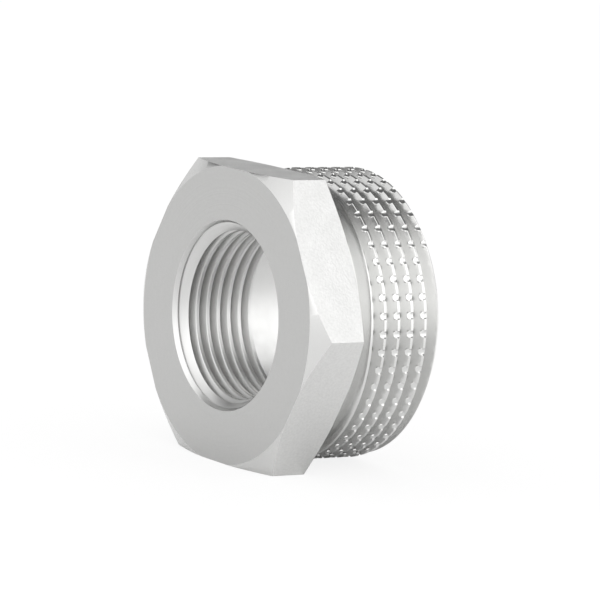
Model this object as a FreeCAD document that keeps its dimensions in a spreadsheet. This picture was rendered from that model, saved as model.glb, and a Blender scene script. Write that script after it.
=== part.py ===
import FreeCAD, Part
import os
import Sketcher

# Reducing hex bushing, turned from hexagon bar in one piece.
# Its axis is X: the wrench head's face is at X = 0 and the male end points to +X.
# It lies on one flat of its head, so the hexagon has level flats below and above.

os.makedirs("parts", exist_ok=True)
doc = FreeCAD.newDocument("hex_bushing")

# Driving dimensions, in millimetres and degrees
SIZES = [
    ("across_flats", 42.0, "wrench size of the hexagon"),
    ("head_length", 8.35, "thickness of the hexagon head"),
    ("face_circle", 42.5, "diameter where the front corner chamfer meets the face"),
    ("face_slope", 31.0, "angle between the front corner chamfer and the face"),
    ("shoulder_circle", 42.5, "diameter where the rear corner chamfer meets the shoulder"),
    ("shoulder_slope", 21.0, "angle between the rear corner chamfer and the shoulder"),
    ("male_length", 14.65, "from the shoulder to the male end"),
    ("male_major", 41.91, "crest diameter of the male pipe thread"),
    ("male_pitch", 2.309, "pitch of the male pipe thread"),
    ("first_groove", 3.08, "from the shoulder to a groove's centre, straight above the axis"),
    ("relief_clearance", 0.13, "how far the undercut lies below the male thread's root"),
    ("relief_length", 1.5, "from the shoulder to the end of the undercut's floor"),
    ("relief_slope", 62.5, "angle of the undercut's two walls, at the shoulder and the thread"),
    ("relief_wall", 0.75, "how far the undercut's wall at the shoulder reaches along the axis"),
    ("end_chamfer", 1.0, "chamfer that starts the male thread"),
    ("female_major", 26.441, "groove diameter of the female pipe thread"),
    ("female_pitch", 1.814, "pitch of the female pipe thread"),
    ("mouth_clearance", 0.33, "how far the mouth is wider at the face than the female grooves"),
    ("mouth_depth", 0.9, "depth of the flared mouth in the head's face"),
    ("lead_in_slope", 45.0, "angle of the cone that starts the female thread"),
    ("female_depth", 12.6, "from the head's face to the end of the female thread"),
    ("end_wall", 2.85, "wall between the undercut and the recess in the male end"),
    ("recess_edge", 0.5, "chamfer round the recess at the male end"),
]

sheet = doc.addObject("Spreadsheet::Sheet", "sizes")
for row, (alias, value, meaning) in enumerate(SIZES, start=1):
    sheet.set(f"A{row}", meaning)
    sheet.set(f"B{row}", str(value))
    sheet.setAlias(f"B{row}", alias)
doc.recompute()

# Form of a pipe thread: its height and its crests' and roots' flats as shares of the pitch
THREAD_HEIGHT = 0.640327
HALF_FLAT = "sizes.male_pitch / 12"
FLANK_ANGLE = "27.5 deg"

# Lengths and radii that follow from the driving dimensions
CORNER = "sizes.across_flats / 2 / cos(30 deg)"
OUTSIDE = "sizes.across_flats"
FACE_RADIUS = "sizes.face_circle / 2"
FACE_REACH = f"({OUTSIDE} - {FACE_RADIUS}) * tan(sizes.face_slope * 1 deg)"
SHOULDER_RADIUS = "sizes.shoulder_circle / 2"
SHOULDER_REACH = f"({OUTSIDE} - {SHOULDER_RADIUS}) * tan(sizes.shoulder_slope * 1 deg)"
MALE_END = "(sizes.head_length + sizes.male_length)"
CREST = "sizes.male_major / 2"
ROOT = f"({CREST} - {THREAD_HEIGHT} * sizes.male_pitch)"
RELIEF = f"({ROOT} - sizes.relief_clearance)"
RELIEF_END = "(sizes.head_length + sizes.relief_length)"
RUNOUT = f"({CREST} - {RELIEF}) / tan(sizes.relief_slope * 1 deg)"
WALL_TOP = f"({RELIEF} + sizes.relief_wall * tan(sizes.relief_slope * 1 deg))"
GROOVE = "sizes.female_major / 2"
CORE = f"({GROOVE} - {THREAD_HEIGHT} * sizes.female_pitch)"
MOUTH = f"({GROOVE} + sizes.mouth_clearance)"
LEAD_IN = f"({GROOVE} - {CORE}) / tan(sizes.lead_in_slope * 1 deg)"
RECESS = f"({RELIEF} - sizes.end_wall)"

# The threading tool's path: it starts two turns early and leaves past the male end
TOOL_START = "(sizes.head_length + sizes.first_groove - 2 * sizes.male_pitch)"
TOOL_TRAVEL = "sizes.male_length - sizes.first_groove + 4 * sizes.male_pitch"
TOOL_TOP = f"({CREST} + sizes.relief_clearance)"
TOOL_HALF_TOP = f"({HALF_FLAT} + ({TOOL_TOP} - {ROOT}) * tan({FLANK_ANGLE}))"

SIDES = 6
FULL_TURN = 360
QUARTERS = 4


def origin_plane(body, role):
    """The body's own origin plane that has this role."""
    return next(item for item in body.Origin.OriginFeatures if item.Role == role)


def new_sketch(body, name, role):
    """An empty sketch on one of the body's origin planes."""
    sketch = body.newObject("Sketcher::SketchObject", name)
    sketch.AttachmentSupport = [(origin_plane(body, role), "")]
    sketch.MapMode = "FlatFace"
    return sketch


def new_feature(body, kind, name, sketch=None):
    """A feature of the body that keeps its faces as they were cut."""
    feature = body.newObject(kind, name)
    feature.Refine = False
    if sketch:
        feature.Profile = sketch
    return feature


def bind(sketch, kind, line, expression):
    """The distance from the sketch's origin to a line's start, driven by an expression."""
    value = float(sketch.evalExpression(expression))
    index = sketch.addConstraint(Sketcher.Constraint(kind, -1, 1, line, 1, value))
    sketch.setExpression(f"Constraints[{index}]", expression)


def add_outline(sketch, corners):
    """A closed outline through corners that are (along the axis, radius) expressions."""
    places = [
        FreeCAD.Vector(*(float(sketch.evalExpression(text)) for text in corner), 0)
        for corner in corners
    ]
    first = sketch.GeometryCount
    for index, place in enumerate(places):
        sketch.addGeometry(Part.LineSegment(place, places[index - len(places) + 1]), False)
    for index, (along, radius) in enumerate(corners):
        line = first + index
        before = first + (index - 1) % len(corners)
        sketch.addConstraint(Sketcher.Constraint("Coincident", before, 2, line, 1))
        if along == "0":
            sketch.addConstraint(Sketcher.Constraint("PointOnObject", line, 1, -2))
        else:
            bind(sketch, "DistanceX", line, along)
        if radius == "0":
            sketch.addConstraint(Sketcher.Constraint("PointOnObject", line, 1, -1))
        else:
            bind(sketch, "DistanceY", line, radius)


def axial_sketch(body, name, outlines):
    """Outlines on the plane through the axis, with the axis as the sketch's level line."""
    sketch = new_sketch(body, name, "XZ_Plane")
    for corners in outlines:
        add_outline(sketch, corners)
    return sketch


def turn(body, kind, name, outlines, angle=FULL_TURN):
    """A turned form or cut, swept round the axis."""
    sketch = axial_sketch(body, f"{name}_outline", outlines)
    feature = new_feature(body, kind, name, sketch)
    feature.ReferenceAxis = (sketch, ["H_Axis"])
    feature.Angle = angle
    return feature


def add_male_end(body):
    """The male end before threading: undercut, run-out cone, crest and starting chamfer.

    It is made in quarters, so that each stretch of the finished crest is a round face.
    """
    quarter = turn(body, "PartDesign::Revolution", "male_quarter", [[
        ("sizes.head_length", "0"),
        ("sizes.head_length", RELIEF),
        (RELIEF_END, RELIEF),
        (f"{RELIEF_END} + {RUNOUT}", CREST),
        (f"{MALE_END} - sizes.end_chamfer", CREST),
        (MALE_END, f"{CREST} - sizes.end_chamfer"),
        (MALE_END, "0"),
    ]], angle=FULL_TURN / QUARTERS)
    ring = new_feature(body, "PartDesign::PolarPattern", "male_end")
    ring.Originals = [quarter]
    ring.Axis = quarter.ReferenceAxis
    ring.Angle = FULL_TURN
    ring.Occurrences = QUARTERS
    body.Tip = ring
    return ring


def cut_male_thread(body):
    """The right-hand male pipe thread, cut as one helical groove."""
    sketch = axial_sketch(body, "male_thread_groove", [[
        (f"{TOOL_START} - {HALF_FLAT}", ROOT),
        (f"{TOOL_START} - {TOOL_HALF_TOP}", TOOL_TOP),
        (f"{TOOL_START} + {TOOL_HALF_TOP}", TOOL_TOP),
        (f"{TOOL_START} + {HALF_FLAT}", ROOT),
    ]])
    thread = new_feature(body, "PartDesign::SubtractiveHelix", "male_thread", sketch)
    thread.ReferenceAxis = (sketch, ["H_Axis"])
    thread.Mode = "pitch-height-angle"
    thread.setExpression("Pitch", "sizes.male_pitch")
    thread.setExpression("Height", TOOL_TRAVEL)
    return thread


def add_undercut_wall(body):
    """The sloping wall that joins the undercut's floor to the head's shoulder."""
    wall_end = "sizes.head_length + sizes.relief_wall"
    return turn(body, "PartDesign::Revolution", "undercut_wall", [[
        ("sizes.head_length", "0"),
        ("sizes.head_length", WALL_TOP),
        (wall_end, RELIEF),
        (wall_end, "0"),
    ]])


def add_head(body):
    """The head: hexagon bar with two flats level."""
    sketch = new_sketch(body, "hexagon", "YZ_Plane")
    reach = float(sketch.evalExpression(CORNER))
    step = FreeCAD.Rotation(FreeCAD.Vector(0, 0, 1), FULL_TURN / SIDES)
    corners = [FreeCAD.Vector(reach, 0, 0)]
    while len(corners) < SIDES:
        corners.append(step.multVec(corners[-1]))
    for index, corner in enumerate(corners):
        sketch.addGeometry(Part.LineSegment(corner, corners[index - SIDES + 1]), False)
    round_corners = Part.Circle(FreeCAD.Vector(0, 0, 0), FreeCAD.Vector(0, 0, 1), reach)
    circle = sketch.addGeometry(round_corners, True)
    sketch.addConstraint(Sketcher.Constraint("Coincident", circle, 3, -1, 1))
    for side in range(SIDES):
        before = (side - 1) % SIDES
        sketch.addConstraint(Sketcher.Constraint("Coincident", before, 2, side, 1))
        sketch.addConstraint(Sketcher.Constraint("PointOnObject", side, 1, circle))
        if side:
            sketch.addConstraint(Sketcher.Constraint("Equal", 0, side))
    sketch.addConstraint(Sketcher.Constraint("PointOnObject", 0, 1, -1))
    bind(sketch, "DistanceY", 1, "sizes.across_flats / 2")
    head = new_feature(body, "PartDesign::Pad", "head", sketch)
    head.setExpression("Length", "sizes.head_length")
    return head


def cut_corners(body):
    """The turned chamfers that take the hexagon's corners off at its face and shoulder."""
    return turn(body, "PartDesign::Groove", "corner_chamfers", [
        [("0", FACE_RADIUS), (FACE_REACH, OUTSIDE), ("0", OUTSIDE)],
        [
            ("sizes.head_length", SHOULDER_RADIUS),
            ("sizes.head_length", OUTSIDE),
            (f"sizes.head_length - {SHOULDER_REACH}", OUTSIDE),
        ],
    ])


def cut_bore(body):
    """The bore: flared mouth, lead-in cone, female thread's core and the wide recess."""
    return turn(body, "PartDesign::Groove", "bore", [[
        ("0", "0"),
        ("0", MOUTH),
        ("sizes.mouth_depth", GROOVE),
        (f"sizes.mouth_depth + {LEAD_IN}", CORE),
        ("sizes.female_depth", CORE),
        ("sizes.female_depth", RECESS),
        (f"{MALE_END} - sizes.recess_edge", RECESS),
        (MALE_END, f"{RECESS} + sizes.recess_edge"),
        (MALE_END, "0"),
    ]])


def build_bushing():
    """The whole bushing, each step of it a feature that adds or removes metal."""
    body = doc.addObject("PartDesign::Body", "hex_bushing")
    body.Label = "hex_bushing"
    volume = 0
    adding = (add_male_end, add_undercut_wall, add_head)
    for step in (add_male_end, cut_male_thread, add_undercut_wall, add_head, cut_corners, cut_bore):
        feature = step(body)
        doc.recompute()
        adds = step in adding
        if (body.Shape.Volume > volume) != adds or body.Tip != feature:
            raise RuntimeError(f"{feature.Label} did nothing")
        volume = body.Shape.Volume
    return body


parts = [build_bushing()]

for item in doc.Objects:
    if "Invalid" in item.State or "Error" in item.State:
        raise RuntimeError(f"{item.Label} failed: {item.State}")
for part in parts:
    shape = part.Shape
    if shape.isNull() or not shape.isValid() or len(shape.Solids) != 1:
        raise RuntimeError(f"{part.Label} is not one valid solid")
    shape.exportStep(f"parts/{part.Label}.step")
    print(part.Label, "volume", round(shape.Volume, 2), "mm3, faces", len(shape.Faces))
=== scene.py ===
# %% [markdown]
# # Hex bushing
# A reducing bushing screws a thin pipe into a wide socket. It is turned from one hexagon bar of
# brass, threaded outside and inside, knurled across its outer thread and plated with nickel.
# This lesson makes it in the order that the workshop does: bar, lathe, threads, knurl, bore,
# plating. The solid that the tools share is loaded first, as the frame that nothing may leave.

# %% Load the frame
import math

import bpy
from mathutils import Matrix, Vector


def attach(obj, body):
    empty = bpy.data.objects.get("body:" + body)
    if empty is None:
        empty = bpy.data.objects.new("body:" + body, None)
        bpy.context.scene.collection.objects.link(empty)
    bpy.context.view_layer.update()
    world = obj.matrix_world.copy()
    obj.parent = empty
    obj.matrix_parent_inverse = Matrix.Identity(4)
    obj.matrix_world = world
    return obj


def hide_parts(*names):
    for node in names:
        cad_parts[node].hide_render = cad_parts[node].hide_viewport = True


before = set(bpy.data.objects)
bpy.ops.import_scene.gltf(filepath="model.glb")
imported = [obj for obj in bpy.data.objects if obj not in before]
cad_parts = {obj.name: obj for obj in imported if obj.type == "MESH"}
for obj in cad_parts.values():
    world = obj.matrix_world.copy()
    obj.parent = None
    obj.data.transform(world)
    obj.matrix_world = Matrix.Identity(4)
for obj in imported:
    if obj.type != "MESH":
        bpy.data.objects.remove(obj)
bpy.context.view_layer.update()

# %% [markdown]
# ## Sizes
# Every size is a real one, in metres, and stands here once. X is the bushing's axis, with the
# wrench head's face at X = 0. Crests, roots, the mouth, the recess and the relief, which is the
# undercut's floor, are given by their radius. The two threads are standard pipe threads. Their
# height and flats are fixed shares of the pitch, so each needs only a radius and a pitch.

# %% Sizes of the bushing
MM = 0.001
SIDES = 6
ACROSS_FLATS = 42.0 * MM
HEAD = 8.35 * MM
CHAMFER_RADIUS = 21.25 * MM
FACE_SLOPE = math.radians(31)
SHOULDER_SLOPE = math.radians(21)
LENGTH = 23.0 * MM

MALE_CREST = 20.955 * MM
MALE_PITCH = 2.309 * MM
MALE_GROOVE = HEAD + 3.08 * MM
RELIEF = 19.3465 * MM
RELIEF_END = HEAD + 1.5 * MM
RELIEF_WALL = 0.75 * MM
WALL_SLOPE = math.radians(62.5)
END_CHAMFER = 1.0 * MM

FEMALE_ROOT = 13.2205 * MM
FEMALE_PITCH = 1.814 * MM
FEMALE_GROOVE = 2.96 * MM
FEMALE_END = 12.6 * MM
MOUTH = 13.5505 * MM
MOUTH_DEPTH = 0.9 * MM
RECESS = 16.4965 * MM
RECESS_EDGE = 0.5 * MM

THREAD_HEIGHT = 0.640327
THREAD_FLAT = 1 / 6
FLANK = math.radians(27.5)
FULL_TURN = 2 * math.pi

male_root = MALE_CREST - THREAD_HEIGHT * MALE_PITCH
female_crest = FEMALE_ROOT - THREAD_HEIGHT * FEMALE_PITCH
print("male root radius mm", round(male_root / MM, 3), "female crest", round(female_crest / MM, 3))

# %% [markdown]
# ## Camera
# The photograph looks at the head's face from 35 degrees to one side and 8 degrees above, through
# a long lens. Edges measured on the photograph fix the camera, so that each edge of the render
# falls on the same edge of the picture. It stands first, because every later choice is judged
# through it.

# %% Camera at the photograph's viewing angle
AZIMUTH = math.radians(-35.006)
ELEVATION = math.radians(8.183)
ROLL = math.radians(4.118)
DISTANCE = 646.305 * MM
FOCAL_PIXELS = 4514.176
PHOTO_PIXELS = 600
AIM = Vector((10.0, 0.0, 0.0)) * MM
AIM_RIGHT = 2.5 * MM
AIM_UP = 1.96 * MM

back = Vector((
    math.sin(AZIMUTH) * math.cos(ELEVATION),
    -math.cos(AZIMUTH) * math.cos(ELEVATION),
    math.sin(ELEVATION),
))
level = Vector((0, 0, 1)).cross(back).normalized()
right = Matrix.Rotation(ROLL, 3, back) @ level
up = back.cross(right)
eye = AIM + AIM_RIGHT * right + AIM_UP * up + DISTANCE * back

camera_data = bpy.data.cameras.new("photo_camera")
camera_data.lens = FOCAL_PIXELS / PHOTO_PIXELS * camera_data.sensor_width
camera = bpy.data.objects.new("photo_camera", camera_data)
camera.matrix_world = Matrix.Translation(eye) @ Matrix((right, up, back)).transposed().to_4x4()
bpy.context.collection.objects.link(camera)
bpy.context.scene.camera = camera
print("lens mm", round(camera_data.lens, 2), "eye mm", [round(v / MM, 1) for v in eye])

# %% [markdown]
# ## Drawing a section
# A turned part is known by half its section. One vertex is set down at the first corner and
# extruded from corner to corner, as by hand, which leaves an open line above the axis. Spinning
# that line about X gives a turned solid, closed where the line starts and ends on the axis. Two
# solids are joined, cut or kept where they overlap by a boolean modifier, applied at once, so the
# bushing grows and is cut in the same order as on the lathe.

# %% Edit one piece
SAME_PLACE = 0.0005 * MM


def edit(piece):
    """Edit mode on this piece alone, with nothing of it selected."""
    bpy.ops.object.select_all(action="DESELECT")
    bpy.context.view_layer.objects.active = piece
    piece.select_set(True)
    bpy.ops.object.mode_set(mode="EDIT")
    bpy.ops.mesh.select_mode(type="VERT")
    bpy.ops.mesh.select_all(action="DESELECT")


def close_up(piece):
    """Doubles merged, then all faces turned outwards."""
    edit(piece)
    bpy.ops.mesh.select_all(action="SELECT")
    bpy.ops.mesh.remove_doubles(threshold=SAME_PLACE)
    bpy.ops.mesh.normals_make_consistent(inside=False)
    bpy.ops.object.mode_set(mode="OBJECT")


print("vertices within", round(SAME_PLACE / MM, 4), "mm are doubles")

# %% Draw and turn a section
TURNING_STEPS = 360


def draw_section(name, corners):
    """An open line through (along the axis, radius) corners, straight above the axis."""
    bpy.ops.object.select_all(action="DESELECT")
    bpy.ops.mesh.primitive_plane_add(size=MM, location=(corners[0][0], 0, corners[0][1]))
    line = bpy.context.object
    line.name = name
    bpy.ops.object.transform_apply(location=True, rotation=True, scale=True)
    edit(line)
    bpy.ops.mesh.select_all(action="SELECT")
    bpy.ops.mesh.merge(type="CENTER")
    for (along, radius), (next_along, next_radius) in zip(corners, corners[1:]):
        move = (next_along - along, 0, next_radius - radius)
        bpy.ops.mesh.extrude_region_move(TRANSFORM_OT_translate={"value": move})
    bpy.ops.object.mode_set(mode="OBJECT")
    return line


def turn(name, corners):
    """A solid of revolution about X. Its section starts and ends on the axis."""
    solid = draw_section(name, corners)
    edit(solid)
    bpy.ops.mesh.select_all(action="SELECT")
    bpy.ops.mesh.spin(steps=TURNING_STEPS, angle=FULL_TURN, center=(0, 0, 0), axis=(1, 0, 0))
    bpy.ops.object.mode_set(mode="OBJECT")
    close_up(solid)
    return solid


print("a turned section takes", TURNING_STEPS, "steps round the axis")


# %% Combine two solids
def combine(piece, tool, operation):
    """A boolean of piece and tool, such as a cutter. The tool is used up."""
    boolean = piece.modifiers.new(tool.name, "BOOLEAN")
    boolean.operation = operation
    boolean.solver = "MANIFOLD"
    boolean.object = tool
    bpy.ops.object.select_all(action="DESELECT")
    bpy.context.view_layer.objects.active = piece
    bpy.ops.object.modifier_apply(modifier=boolean.name)
    print(operation.lower(), tool.name, "leaves", piece.name, len(piece.data.polygons), "faces")
    bpy.data.objects.remove(tool)


# %% [markdown]
# ## Head
# The head is a slice of hexagon bar. The lathe then takes its six corners off in front and behind
# with a shallow chamfer, which leaves the curved edges that every nut has. Keeping only what lies
# inside a turned double cone gives those curves exactly, and a fine bevel breaks the sharp edges.
# A cutting shape reaches a millimetre past the metal, because faces that only touch cut badly.

# %% Head of hexagon bar
CORNER = ACROSS_FLATS / 2 / math.cos(math.pi / SIDES)
BEYOND = 26.0 * MM
PAST = 1.0 * MM
EDGE_BREAK = 0.12 * MM
EDGE_SEGMENTS = 2
SHARP = math.radians(15)

bpy.ops.object.select_all(action="DESELECT")
bpy.ops.mesh.primitive_cylinder_add(
    vertices=SIDES,
    radius=CORNER,
    depth=HEAD,
    location=(HEAD / 2, 0, 0),
    rotation=(0, math.pi / 2, 0),
)
bushing = bpy.context.object
bushing.name = "bushing"
bpy.ops.object.transform_apply(location=True, rotation=True, scale=True)
corner_cones = turn("corner_cones", [
    (-PAST, 0),
    (-PAST, CHAMFER_RADIUS - PAST / math.tan(FACE_SLOPE)),
    ((BEYOND - CHAMFER_RADIUS) * math.tan(FACE_SLOPE), BEYOND),
    (HEAD - (BEYOND - CHAMFER_RADIUS) * math.tan(SHOULDER_SLOPE), BEYOND),
    (HEAD + PAST, CHAMFER_RADIUS - PAST / math.tan(SHOULDER_SLOPE)),
    (HEAD + PAST, 0),
])
combine(bushing, corner_cones, "INTERSECT")
edit(bushing)
bpy.ops.mesh.select_mode(type="EDGE")
bpy.ops.mesh.edges_select_sharp(sharpness=SHARP)
bpy.ops.mesh.bevel(offset=EDGE_BREAK, segments=EDGE_SEGMENTS, clamp_overlap=True)
bpy.ops.object.mode_set(mode="OBJECT")
print("head has", len(bushing.data.vertices), "vertices")

# %% [markdown]
# ## Threads
# A thread is one groove that winds along the axis. Rings copied along the axis would look alike
# from far away, but they have no lead, and nothing could be screwed on them. So the section over
# one pitch, from the middle of a groove over the ridge to the middle of the next groove, is screwed
# round X: each turn ends exactly where the next one starts. The end loops are drawn in to the axis,
# so the screw is solid.

# %% Screw a thread's section
flank_slope = math.tan(FLANK)


def screw(name, half_ridge, middle, pitch, turns, steps):
    """A solid right-hand screw. Its ridge's section is (reach from the middle, radius) corners."""
    section = [(middle - reach, radius) for reach, radius in half_ridge]
    section += [(middle + reach, radius) for reach, radius in reversed(half_ridge)]
    thread = draw_section(name, section)
    winding = thread.modifiers.new("winding", "SCREW")
    winding.axis = "X"
    winding.angle = FULL_TURN
    winding.screw_offset = pitch
    winding.iterations = turns
    winding.steps = steps
    winding.render_steps = steps
    bpy.ops.object.modifier_apply(modifier=winding.name)
    close_up(thread)
    edit(thread)
    bpy.ops.mesh.select_non_manifold(
        use_wire=False, use_multi_face=False, use_non_contiguous=False, use_verts=False
    )
    bpy.ops.mesh.extrude_region_move()
    bpy.ops.mesh.merge(type="COLLAPSE")
    bpy.ops.object.mode_set(mode="OBJECT")
    close_up(thread)
    print(name, "has", len(thread.data.vertices), "vertices")
    return thread


print("a flank widens by", round(flank_slope, 3), "of its height")

# %% [markdown]
# ## Male thread
# The threading tool's flanks stand 27.5 degrees off the square, and it leaves a flat a sixth of
# the pitch wide on each crest and in each root. The crest's corners are broken a little, as any
# cut edge is. Three more corners down each flank are for the knurl, which bends the metal there.
# The screw starts well inside the head and ends beyond the blank, so only whole turns are kept.

# %% Male thread
NOTCHES = 50
STEPS_PER_NOTCH = 15
MALE_TURNS = 11
MALE_EARLY_TURNS = 5
CREST_BREAK = 0.04 * MM
NOTCH_DEPTH = 0.25 * MM
LOBE_HEIGHT = 0.12 * MM
LOBE_FOOT = 0.3 * MM

half_flat = MALE_PITCH * THREAD_FLAT / 2
notch_floor = MALE_CREST - NOTCH_DEPTH
male_thread = screw(
    "male_thread",
    [
        (MALE_PITCH / 2, male_root),
        (MALE_PITCH / 2 - half_flat, male_root),
        (half_flat + (NOTCH_DEPTH + LOBE_FOOT) * flank_slope, notch_floor - LOBE_FOOT),
        (half_flat + (NOTCH_DEPTH + LOBE_HEIGHT) * flank_slope, notch_floor - LOBE_HEIGHT),
        (half_flat + NOTCH_DEPTH * flank_slope, notch_floor),
        (half_flat + CREST_BREAK * flank_slope, MALE_CREST - CREST_BREAK),
        (half_flat - CREST_BREAK, MALE_CREST),
    ],
    MALE_GROOVE + (0.5 - MALE_EARLY_TURNS) * MALE_PITCH,
    MALE_PITCH,
    MALE_TURNS,
    NOTCHES * STEPS_PER_NOTCH,
)

# %% [markdown]
# ## Knurl
# Plumbers wind hemp or tape on the outer thread, and a knurling wheel notches its crests so that
# the hemp grips. The wheel has straight round teeth, so the notches stand in rows along the axis.
# Each tooth presses the crest down and squeezes a round lobe of metal out over the flank. Cutting
# the notches with solids of their own would take hundreds of booleans and leave no lobes. The screw
# has fifteen steps for each notch instead, so a notch's place is found by counting steps from the
# first row, and its vertices are pressed towards the axis or pushed along it, as with the scale
# and move tools. The ridge nearest the head and the plain end of the last one stay smooth.

# %% Find the vertices of a notch
FIRST_ROW = math.radians(92.88)
KNURL_START = 12.0 * MM
KNURL_END = 22.2 * MM
NEAR = 0.01 * MM


def polar(place):
    """Radius about the axis, and angle from +Y towards +Z."""
    return math.hypot(place.y, place.z), math.atan2(place.z, place.y)


def select_vertices(piece, wanted):
    """Edit mode on this piece, with the vertices selected whose place is wanted."""
    edit(piece)
    bpy.ops.object.mode_set(mode="OBJECT")
    for vertex in piece.data.vertices:
        vertex.select = wanted(vertex.co)
    bpy.ops.object.mode_set(mode="EDIT")


def steps_from_notch(angle):
    """Whole screw steps from the middle of the nearest notch."""
    steps = (angle - FIRST_ROW) / FULL_TURN * NOTCHES * STEPS_PER_NOTCH
    return round(abs((steps + STEPS_PER_NOTCH / 2) % STEPS_PER_NOTCH - STEPS_PER_NOTCH / 2))


def past_ridge(place, angle):
    """How far along the axis a place is past the middle of its ridge."""
    wound = (angle - math.pi / 2) / FULL_TURN
    return (((place.x - MALE_GROOVE) / MALE_PITCH - wound) % 1 - 0.5) * MALE_PITCH


def in_notch(radius, steps, head_side_only):
    """A test for the vertices at this radius, this many steps from a notch's middle."""
    def wanted(place):
        reach, angle = polar(place)
        if abs(reach - radius) > NEAR or steps_from_notch(angle) != steps:
            return False
        past = past_ridge(place, angle)
        return KNURL_START < place.x - past < KNURL_END and (past < 0 or not head_side_only)
    return wanted


print("notches stand", 360 / NOTCHES, "degrees apart")

# %% Notches across the crests
LOBE = 0.42 * MM
# How much of its full depth a tooth presses, by steps from the notch's middle
TOOTH = {0: 1.0, 1: 0.95, 2: 0.75}

for steps, share in TOOTH.items():
    for radius in (notch_floor, notch_floor - LOBE_HEIGHT):
        select_vertices(male_thread, in_notch(radius, steps, True))
        bpy.ops.transform.translate(value=(-LOBE * share, 0, 0))
        bpy.ops.object.mode_set(mode="OBJECT")
    for radius in (MALE_CREST, MALE_CREST - CREST_BREAK):
        select_vertices(male_thread, in_notch(radius, steps, False))
        press = (MALE_CREST - NOTCH_DEPTH * share) / radius
        bpy.ops.transform.resize(value=(1, press, press), center_override=(0, 0, 0))
        bpy.ops.object.mode_set(mode="OBJECT")
print("notches are", round(NOTCH_DEPTH / MM, 2), "mm deep,", NOTCHES, "to a turn")

# %% [markdown]
# ## Undercut and blank
# The threading tool needs room to run out before the shoulder, so the lathe cuts an undercut there,
# a little deeper than the thread's root and with two sloping walls. Keeping only what lies inside a
# turned blank trims the screw to length and gives it the wall on its own side. The wall on the
# head's side is a turned cone of its own, joined on afterwards, since no thread runs over it.

# %% Blank that the thread is cut on, joined to the head
wall_top = RELIEF + RELIEF_WALL * math.tan(WALL_SLOPE)
male_blank = turn("male_blank", [
    (HEAD / 2, 0),
    (HEAD / 2, RELIEF),
    (RELIEF_END, RELIEF),
    (RELIEF_END + (MALE_CREST - RELIEF) / math.tan(WALL_SLOPE), MALE_CREST),
    (LENGTH - END_CHAMFER, MALE_CREST),
    (LENGTH, MALE_CREST - END_CHAMFER),
    (LENGTH, 0),
])
combine(male_thread, male_blank, "INTERSECT")
undercut_wall = turn("undercut_wall", [
    (HEAD / 2, 0),
    (HEAD / 2, wall_top),
    (HEAD, wall_top),
    (HEAD + RELIEF_WALL, RELIEF),
    (HEAD + RELIEF_WALL, 0),
])
combine(male_thread, undercut_wall, "UNION")
combine(bushing, male_thread, "UNION")

# %% [markdown]
# ## Bore
# The bore is drilled and bored out before the tap cuts the finer female thread, so the lead-in
# cone in the mouth and the wide recess behind the thread both end its turns cleanly. The mouth
# flares a little, and the boring tool's corner has left a fine ring where it meets the cone. The
# tap leaves wide crests between narrow grooves, which is what gives a bore its pale bands with a
# dark line beside each. The hollow is built as three solid cutters and taken away one by one.

# %% Cutter for the female thread
FEMALE_TURNS = 10
FEMALE_EARLY_TURNS = 2
FEMALE_STEPS = 240
FEMALE_BREAK = 0.05 * MM
GROOVE_FLOOR = 0.03 * MM
OVERLAP = 0.4 * MM

lead_in = FEMALE_ROOT - female_crest
groove_mouth = GROOVE_FLOOR + lead_in * flank_slope
female_thread = screw(
    "female_thread",
    [
        (FEMALE_PITCH / 2, female_crest),
        (groove_mouth + FEMALE_BREAK, female_crest),
        (groove_mouth - FEMALE_BREAK * flank_slope, female_crest + FEMALE_BREAK),
        (GROOVE_FLOOR, FEMALE_ROOT),
    ],
    FEMALE_GROOVE - FEMALE_EARLY_TURNS * FEMALE_PITCH,
    FEMALE_PITCH,
    FEMALE_TURNS,
    FEMALE_STEPS,
)
female_span = turn("female_span", [
    (MOUTH_DEPTH - OVERLAP, 0),
    (MOUTH_DEPTH - OVERLAP, FEMALE_ROOT + OVERLAP),
    (FEMALE_END + OVERLAP, FEMALE_ROOT + OVERLAP),
    (FEMALE_END + OVERLAP, 0),
])
combine(female_thread, female_span, "INTERSECT")

# %% Cutters for the mouth and the recess
MOUTH_BREAK = 0.05 * MM
TOOL_MARK = 0.22 * MM

mouth = turn("mouth", [
    (-PAST, 0),
    (-PAST, MOUTH + MOUTH_BREAK + PAST),
    (MOUTH_BREAK, MOUTH),
    (MOUTH_DEPTH - TOOL_MARK, FEMALE_ROOT),
    (MOUTH_DEPTH, FEMALE_ROOT + TOOL_MARK),
    (MOUTH_DEPTH + TOOL_MARK, FEMALE_ROOT - TOOL_MARK),
    (MOUTH_DEPTH + lead_in, female_crest),
    (MOUTH_DEPTH + lead_in, 0),
])
recess = turn("recess", [
    (FEMALE_END, 0),
    (FEMALE_END, RECESS),
    (LENGTH - RECESS_EDGE, RECESS),
    (LENGTH + PAST, RECESS + RECESS_EDGE + PAST),
    (LENGTH + PAST, 0),
])
for cutter in (mouth, female_thread, recess):
    combine(bushing, cutter, "DIFFERENCE")

# %% [markdown]
# ## Shading
# Cut metal is flat where the tool ran flat and has crisp edges, so only faces that meet at a small
# angle share a smooth normal. A weighted normal then lets the wide faces keep theirs, and the fine
# bevels between them turn the light, as broken edges do.

# %% Find the flat faces
BARELY = 0.001
SQUARE_ON = 1 - BARELY * BARELY


def on_hexagon(place):
    """Whether a place lies in one of the hexagon's flats."""
    reach, angle = polar(place)
    turned = (angle - math.pi / 2) % (FULL_TURN / SIDES)
    nearest = min(turned, FULL_TURN / SIDES - turned)
    return abs(reach * math.cos(nearest) - ACROSS_FLATS / 2) < SAME_PLACE


def is_flat(face):
    """Whether a face lies in the head's front, its shoulder, a flat of the hexagon or the end."""
    along = abs(face.normal.x)
    if along > SQUARE_ON:
        return True
    return along < BARELY and face.center.x < HEAD and on_hexagon(face.center)


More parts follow.
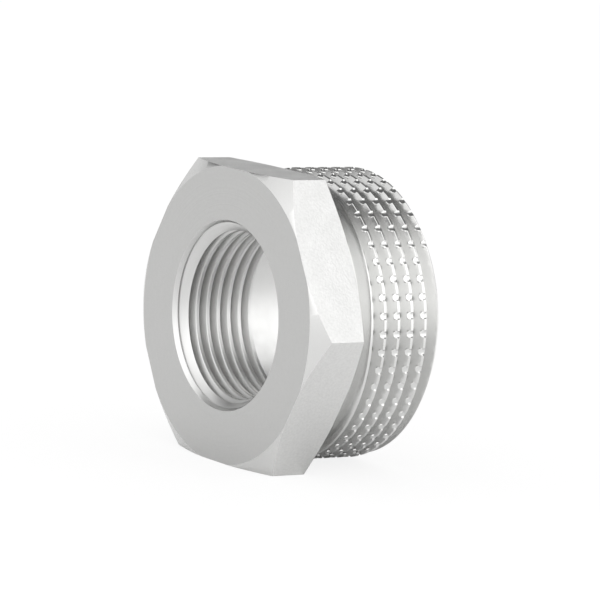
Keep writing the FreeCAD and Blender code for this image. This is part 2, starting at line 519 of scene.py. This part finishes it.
print("bushing has", sum(is_flat(face) for face in bushing.data.polygons), "flat faces")

# %% Smooth faces, crisp edges
SMOOTH = math.radians(25)

bpy.ops.object.select_all(action="DESELECT")
bushing.select_set(True)
bpy.context.view_layer.objects.active = bushing
bpy.ops.object.shade_smooth_by_angle(angle=SMOOTH)
wide_faces = bushing.modifiers.new("wide_faces", "WEIGHTED_NORMAL")
wide_faces.keep_sharp = True
bpy.ops.object.modifier_apply(modifier=wide_faces.name)

edit(bushing)
bpy.ops.mesh.select_mode(type="FACE")
bpy.ops.object.mode_set(mode="OBJECT")
for face in bushing.data.polygons:
    face.select = is_flat(face)
bpy.ops.object.mode_set(mode="EDIT")
bpy.ops.mesh.set_normals_from_faces(keep_sharp=True)
bpy.ops.object.mode_set(mode="OBJECT")
triangles = sum(len(face.vertices) - 2 for face in bushing.data.polygons)
print("bushing has", triangles, "triangles")

# %% [markdown]
# ## Nickel plate
# Nickel plate is a nearly neutral silver. It follows the metal under it, so what differs over the
# bushing is mostly how the brass was left: faced with fine rings on the head's front, drawn and
# tumbled on the flats, cut bright in the outer thread, bored a little duller inside. Each finish is
# the same plate with its own marks, roughness and base colour; the darker colour of the faced front
# is painted shade, and the flats' sand has painted shade in its pits and painted highlights on its
# rims. A rougher finish spreads the room's light, so it looks even and pale, and a smoother one
# keeps the room's bright and dark parts apart. Real grit and tool marks are a few hundredths of a
# millimetre wide. Marks under a third of a millimetre wouldn't show in a picture of this size, so
# all of them are drawn about that coarse.

# %% Colours and nodes
def linear(hex_colour):
    """The linear colour of an sRGB hex value."""
    levels = [int(hex_colour[place:place + 2], 16) / 255 for place in (1, 3, 5)]
    return [
        level / 12.92 if level <= 0.04045 else ((level + 0.055) / 1.055) ** 2.4 for level in levels
    ] + [1.0]


def add_node(tree, kind, inputs, **settings):
    """A node with its settings. Each input is a value or another node's output."""
    node = tree.nodes.new(kind)
    for name, value in settings.items():
        setattr(node, name, value)
    for name, value in inputs.items():
        if isinstance(value, bpy.types.NodeSocket):
            tree.links.new(value, node.inputs[name])
        else:
            node.inputs[name].default_value = value
    return node


def nickel(name, colour):
    """Nickel plate without its marks, and the nodes that they are added to."""
    material = bpy.data.materials.new(name)
    material.use_nodes = True
    tree = material.node_tree
    tree.nodes.clear()
    shader = add_node(tree, "ShaderNodeBsdfPrincipled", {
        "Base Color": linear(colour), "Metallic": 1.0,
    })
    add_node(tree, "ShaderNodeOutputMaterial", {"Surface": shader.outputs["BSDF"]})
    place = add_node(tree, "ShaderNodeTexCoord", {}).outputs["Object"]
    return material, tree, shader, place


# Nearly all of a noise pattern lies between these two values
NOISE_LOW = 0.3
NOISE_HIGH = 0.7

WHITE = linear("#FFFFFF")
print("linear white", WHITE)

# %% [markdown]
# ## Faced nickel
# The lathe's facing tool crosses the head's front, its shoulder and the male end, and leaves rings
# about the axis. They are shallow, so the eye reads one calm grey disc with a soft sheen. Noise
# that depends on the distance from the axis alone draws them, with the fine grain of the barrel
# over it. Its base colour is the darkest here: painted shade, for the light lost between the rings.

# %% Faced nickel: fine rings from the turning tool
RING_WIDTH = 0.35 * MM
RING_DEPTH = 0.02 * MM
FACE_GRAIN = 0.5 * MM
FACE_GRAIN_DEPTH = 0.012 * MM
FACED_SMOOTHEST, FACED_ROUGHEST = 0.34, 0.44

# The base colour is darker than the other plates': painted shade, for the light lost between the
# rings.
faced, tree, shader, place = nickel("faced_nickel", "#BEBEBD")
across = add_node(tree, "ShaderNodeVectorMath", {0: place, 1: (0, 1, 1)}, operation="MULTIPLY")
reach = add_node(tree, "ShaderNodeVectorMath", {0: across.outputs["Vector"]}, operation="LENGTH")
rings = add_node(tree, "ShaderNodeTexNoise", {
    "W": reach.outputs["Value"], "Scale": 1 / RING_WIDTH, "Detail": 2.0,
}, noise_dimensions="1D")
grain = add_node(tree, "ShaderNodeTexNoise", {
    "Vector": place, "Scale": 1 / FACE_GRAIN, "Detail": 3.0,
})
roughness = add_node(tree, "ShaderNodeMapRange", {
    "Value": grain.outputs["Fac"], "From Min": NOISE_LOW, "From Max": NOISE_HIGH,
    "To Min": FACED_SMOOTHEST, "To Max": FACED_ROUGHEST,
})
ring_marks = add_node(tree, "ShaderNodeBump", {
    "Height": rings.outputs["Fac"], "Strength": 1.0, "Distance": RING_DEPTH,
})
all_marks = add_node(tree, "ShaderNodeBump", {
    "Height": grain.outputs["Fac"], "Strength": 1.0, "Distance": FACE_GRAIN_DEPTH,
    "Normal": ring_marks.outputs["Normal"],
})
tree.links.new(roughness.outputs["Result"], shader.inputs["Roughness"])
tree.links.new(all_marks.outputs["Normal"], shader.inputs["Normal"])
print(faced.name, "has", len(tree.nodes), "nodes")

# %% [markdown]
# ## Tumbled nickel
# The flats keep the skin of the drawn bar, which a barrel of grit has dulled. To the eye they are
# pale and even with a faint sandy sparkle. One fine noise gives the sand its height and, with the
# same pattern, painted shade in its pits and a painted highlight on its rims, so that a pit looks
# darker than the metal round it. A broad one makes the sheen a little uneven, as a barrel does.

# %% Tumbled nickel: an even, slightly sandy sheen
SAND = 0.34 * MM
SAND_DEPTH = 0.018 * MM
CLOUDS = 2.5 * MM
TUMBLED_SMOOTHEST, TUMBLED_ROUGHEST = 0.32, 0.42
# Painted shade in the sand's pits and a painted highlight on its rims, mixed by the sand's own
# noise
PIT_SHADE_COLOUR = "#C8C8C7"
RIM_HIGHLIGHT_COLOUR = "#E0E0DF"

tumbled, tree, shader, place = nickel("tumbled_nickel", PIT_SHADE_COLOUR)
sand = add_node(tree, "ShaderNodeTexNoise", {"Vector": place, "Scale": 1 / SAND, "Detail": 4.0})
clouds = add_node(tree, "ShaderNodeTexNoise", {
    "Vector": place, "Scale": 1 / CLOUDS, "Detail": 2.0,
})
roughness = add_node(tree, "ShaderNodeMapRange", {
    "Value": clouds.outputs["Fac"], "From Min": NOISE_LOW, "From Max": NOISE_HIGH,
    "To Min": TUMBLED_SMOOTHEST, "To Max": TUMBLED_ROUGHEST,
})
sand_marks = add_node(tree, "ShaderNodeBump", {
    "Height": sand.outputs["Fac"], "Strength": 1.0, "Distance": SAND_DEPTH,
})
# Painted shade in the pits and a painted highlight on the rims, following the sand's height
sand_shade_and_highlight = add_node(tree, "ShaderNodeMix", {
    "Factor": sand.outputs["Fac"], "A": linear(PIT_SHADE_COLOUR), "B": linear(RIM_HIGHLIGHT_COLOUR),
}, data_type="RGBA")
tree.links.new(roughness.outputs["Result"], shader.inputs["Roughness"])
tree.links.new(sand_marks.outputs["Normal"], shader.inputs["Normal"])
tree.links.new(sand_shade_and_highlight.outputs["Result"], shader.inputs["Base Color"])
print(tumbled.name, "has", len(tree.nodes), "nodes")

# %% [markdown]
# ## Cut and bored nickel
# A sharp tool leaves the outer thread bright, with faint chatter along the cut, so its ridges
# glint and its valleys go dark where the room does. Inside, taps and boring tools wear and leave
# the same marks duller, and the bore looks soft and even. One recipe makes both: noise along the
# axis for the chatter, and only the colour and the roughness differ.

# %% Cut nickel and bored nickel: bright outside, a little duller in the bore
CHATTER = 0.3 * MM
CHATTER_DEPTH = 0.004 * MM
STAINS = 1.2 * MM


def cut_metal(name, colour, smoothest, roughest):
    """Plated metal as a cutting tool leaves it, between two roughnesses."""
    material, tree, shader, place = nickel(name, colour)
    along = add_node(tree, "ShaderNodeSeparateXYZ", {"Vector": place})
    chatter = add_node(tree, "ShaderNodeTexNoise", {
        "W": along.outputs["X"], "Scale": 1 / CHATTER, "Detail": 1.0,
    }, noise_dimensions="1D")
    stains = add_node(tree, "ShaderNodeTexNoise", {
        "Vector": place, "Scale": 1 / STAINS, "Detail": 2.0,
    })
    roughness = add_node(tree, "ShaderNodeMapRange", {
        "Value": stains.outputs["Fac"], "From Min": NOISE_LOW, "From Max": NOISE_HIGH,
        "To Min": smoothest, "To Max": roughest,
    })
    marks = add_node(tree, "ShaderNodeBump", {
        "Height": chatter.outputs["Fac"], "Strength": 1.0, "Distance": CHATTER_DEPTH,
    })
    tree.links.new(roughness.outputs["Result"], shader.inputs["Roughness"])
    tree.links.new(marks.outputs["Normal"], shader.inputs["Normal"])
    print(name, "has", len(tree.nodes), "nodes")
    return material


cut = cut_metal("cut_nickel", "#D4D4D3", 0.21, 0.26)
bored = cut_metal("bored_nickel", "#CDCDCC", 0.32, 0.38)

# %% Give each face its finish
FLATS_BEYOND = CHAMFER_RADIUS - 1.0 * MM


def finish_of(face):
    """The finish that this face of the bushing was left with."""
    along = abs(face.normal.x)
    radius = polar(face.center)[0]
    if along > 1 - BARELY:
        return faced
    if radius < RECESS + RECESS_EDGE:
        return bored
    if along < BARELY and face.center.x < HEAD and radius > FLATS_BEYOND:
        return tumbled
    return cut


finishes = [cut, faced, tumbled, bored]
bushing.data.materials.clear()
for finish in finishes:
    bushing.data.materials.append(finish)
for face in bushing.data.polygons:
    face.material_index = finishes.index(finish_of(face))
print("finishes", [finish.name for finish in finishes])

# %% [markdown]
# ## Studio floor
# The bushing lies on one flat on a plain pale floor, which shows white to the camera. To the metal
# it shows white only as a share, and only in front of the bushing, where it also brightens towards
# the lights. The rest of it is matt, so it keeps the soft shadow, and the metal just above it stays
# grey.

# %% Floor
FLOOR = -ACROSS_FLATS / 2
FLOOR_SIZE = 6.0

bpy.ops.object.select_all(action="DESELECT")
bpy.ops.mesh.primitive_plane_add(size=FLOOR_SIZE, location=(0, 0, FLOOR))
floor = bpy.context.object
floor.name = "floor"
bpy.ops.object.transform_apply(location=True, rotation=True, scale=True)
print("floor lies at z mm", round(FLOOR / MM, 2))

# %% Pale paper, white to the camera
# The glow that the metal sees in the floor is painted light: it brightens towards the lights and is
# left out under the bushing, where the matt floor's shadow shows.
OPEN_FROM, OPEN_FULL = -0.012, -0.03
LIT_FROM, LIT_FULL = -0.03, -0.2
MIRRORED_FLOOR = 0.3
CAMERA_FLOOR = 0.85
NEAR_STRENGTH, FAR_STRENGTH = 1.0, 1.7


def mirrored_rays(tree, path):
    """1 for a ray that was mirrored or let through, and otherwise 0."""
    return add_node(tree, "ShaderNodeMath", {
        0: path.outputs["Is Glossy Ray"], 1: path.outputs["Is Transmission Ray"],
    }, operation="ADD").outputs["Value"]


paper = bpy.data.materials.new("pale_floor")
paper.use_nodes = True
tree = paper.node_tree
tree.nodes.clear()
path = add_node(tree, "ShaderNodeLightPath", {})
spot = add_node(tree, "ShaderNodeTexCoord", {}).outputs["Object"]
spots = add_node(tree, "ShaderNodeSeparateXYZ", {"Vector": spot})
toward_light = add_node(tree, "ShaderNodeMapRange", {
    "Value": spots.outputs["Y"], "From Min": LIT_FROM, "From Max": LIT_FULL,
    "To Min": NEAR_STRENGTH, "To Max": FAR_STRENGTH,
}, interpolation_type="SMOOTHSTEP")
open_floor = add_node(tree, "ShaderNodeMapRange", {
    "Value": spots.outputs["Y"], "From Min": OPEN_FROM, "From Max": OPEN_FULL,
    "To Min": 0.0, "To Max": MIRRORED_FLOOR,
}, interpolation_type="SMOOTHSTEP")
camera_share = add_node(tree, "ShaderNodeMath", {
    0: path.outputs["Is Camera Ray"], 1: CAMERA_FLOOR,
}, operation="MULTIPLY")
white_share = add_node(tree, "ShaderNodeMath", {
    0: mirrored_rays(tree, path), 1: open_floor.outputs["Result"],
    2: camera_share.outputs["Value"],
}, operation="MULTIPLY_ADD")
matt = add_node(tree, "ShaderNodeBsdfDiffuse", {"Color": linear("#F2F2F2")})
white = add_node(tree, "ShaderNodeEmission", {
    "Color": WHITE, "Strength": toward_light.outputs["Result"],
})
mix = add_node(tree, "ShaderNodeMixShader", {
    "Fac": white_share.outputs["Value"], 1: matt.outputs["BSDF"], 2: white.outputs["Emission"],
})
add_node(tree, "ShaderNodeOutputMaterial", {"Surface": mix.outputs["Shader"]})
floor.data.materials.append(paper)
print("pale_floor has", len(tree.nodes), "nodes")

# %% [markdown]
# ## Studio room
# Bright metal shows the room round it, so the room draws the bushing. It is brighter in front,
# like a large diffuser at the camera's side, and dimmer low down, and its ceiling is unlit at the
# back on the right. So what faces front is nearly white, what faces back is grey, and the top of
# the thread goes dark between its ridges. The background is a white backdrop, which the metal
# mirrors only as a small share. The matt floor gets an even light from all round.

# %% Room in front and behind
LIGHTEST_WAY = (0.0, -1.0, 0.1)
FRONT_FROM, FRONT_FULL = -0.6, 0.4
BACK_STRENGTH, FRONT_STRENGTH = 0.94, 1.75
LOW_FROM, HIGH_FULL = -0.1, 0.4
LOW_SHARE, HIGH_SHARE = 0.75, 1.15

world = bpy.data.worlds.new("studio")
world.use_nodes = True
bpy.context.scene.world = world
tree = world.node_tree
tree.nodes.clear()
direction = add_node(tree, "ShaderNodeTexCoord", {}).outputs["Generated"]
heights = add_node(tree, "ShaderNodeSeparateXYZ", {"Vector": direction})
frontness = add_node(tree, "ShaderNodeVectorMath", {
    0: direction, 1: LIGHTEST_WAY,
}, operation="DOT_PRODUCT")
glow = add_node(tree, "ShaderNodeMapRange", {
    "Value": frontness.outputs["Value"], "From Min": FRONT_FROM, "From Max": FRONT_FULL,
    "To Min": BACK_STRENGTH, "To Max": FRONT_STRENGTH,
}, interpolation_type="SMOOTHSTEP")
horizon = add_node(tree, "ShaderNodeMapRange", {
    "Value": heights.outputs["Z"], "From Min": LOW_FROM, "From Max": HIGH_FULL,
    "To Min": LOW_SHARE, "To Max": HIGH_SHARE,
}, interpolation_type="SMOOTHSTEP")
print("room is", FRONT_STRENGTH, "in front and", BACK_STRENGTH, "behind")

# %% Unlit ceiling at the back on the right
BACK_RIGHT = (0.7, 0.7, 0.0)
CEILING_FROM, CEILING_FULL = 0.18, 0.4
BEHIND_FROM, BEHIND_FULL = 0.08, 0.2

above = add_node(tree, "ShaderNodeMapRange", {
    "Value": heights.outputs["Z"], "From Min": CEILING_FROM, "From Max": CEILING_FULL,
}, interpolation_type="SMOOTHSTEP")
backness = add_node(tree, "ShaderNodeVectorMath", {
    0: direction, 1: BACK_RIGHT,
}, operation="DOT_PRODUCT")
behind = add_node(tree, "ShaderNodeMapRange", {
    "Value": backness.outputs["Value"], "From Min": BEHIND_FROM, "From Max": BEHIND_FULL,
}, interpolation_type="SMOOTHSTEP")
unlit = add_node(tree, "ShaderNodeMath", {
    0: above.outputs["Result"], 1: behind.outputs["Result"],
}, operation="MULTIPLY")
ceiling = add_node(tree, "ShaderNodeMath", {
    0: 1.0, 1: unlit.outputs["Value"],
}, operation="SUBTRACT")
bands = add_node(tree, "ShaderNodeMath", {
    0: horizon.outputs["Result"], 1: ceiling.outputs["Value"],
}, operation="MULTIPLY")
strength = add_node(tree, "ShaderNodeMath", {
    0: glow.outputs["Result"], 1: bands.outputs["Value"],
}, operation="MULTIPLY")
print("ceiling is unlit above a height of", CEILING_FULL)

# %% Backdrop, and the even light that the floor gets
EVEN_STRENGTH = 1.15
BACKDROP_STRENGTH = 1.0
MIRRORED_BACKDROP = 0.15

room = add_node(tree, "ShaderNodeBackground", {
    "Color": WHITE, "Strength": strength.outputs["Value"],
})
even = add_node(tree, "ShaderNodeBackground", {"Color": WHITE, "Strength": EVEN_STRENGTH})
backdrop = add_node(tree, "ShaderNodeBackground", {"Color": WHITE, "Strength": BACKDROP_STRENGTH})
path = add_node(tree, "ShaderNodeLightPath", {})
lit = add_node(tree, "ShaderNodeMixShader", {
    "Fac": path.outputs["Is Diffuse Ray"], 1: room.outputs["Background"],
    2: even.outputs["Background"],
})
backdrop_share = add_node(tree, "ShaderNodeMath", {
    0: mirrored_rays(tree, path), 1: MIRRORED_BACKDROP, 2: path.outputs["Is Camera Ray"],
}, operation="MULTIPLY_ADD")
seen = add_node(tree, "ShaderNodeMixShader", {
    "Fac": backdrop_share.outputs["Value"], 1: lit.outputs["Shader"],
    2: backdrop.outputs["Background"],
})
add_node(tree, "ShaderNodeOutputWorld", {"Surface": seen.outputs["Shader"]})
print("studio has", len(tree.nodes), "nodes")

# %% [markdown]
# ## Lamp
# One low, wide softbox stands in front on the right. It fills the lower flats and gives the lobes
# of the knurl their points of light. It is weak and large, so that its shadow stays soft.

# %% Low softbox
SOFTBOX_PLACE = Vector((0.10, -0.16, 0.02))
SOFTBOX_WIDTH = 0.30
SOFTBOX_HEIGHT = 0.08
SOFTBOX_RADIANCE = 0.3

softbox_data = bpy.data.lights.new("low_softbox", "AREA")
softbox_data.shape = "RECTANGLE"
softbox_data.size = SOFTBOX_WIDTH
softbox_data.size_y = SOFTBOX_HEIGHT
softbox_data.energy = SOFTBOX_RADIANCE * math.pi * SOFTBOX_WIDTH * SOFTBOX_HEIGHT
softbox = bpy.data.objects.new("low_softbox", softbox_data)
facing = SOFTBOX_PLACE.normalized().to_track_quat("Z", "Y").to_matrix().to_4x4()
softbox.matrix_world = Matrix.Translation(SOFTBOX_PLACE) @ facing
bpy.context.collection.objects.link(softbox)
softbox.visible_camera = False
bpy.context.scene.view_settings.view_transform = "Standard"
print("softbox gives", round(softbox_data.energy, 4), "W")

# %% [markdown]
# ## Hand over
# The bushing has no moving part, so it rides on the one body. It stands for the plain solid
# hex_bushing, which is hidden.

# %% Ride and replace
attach(bushing, "root")
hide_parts("hex_bushing")
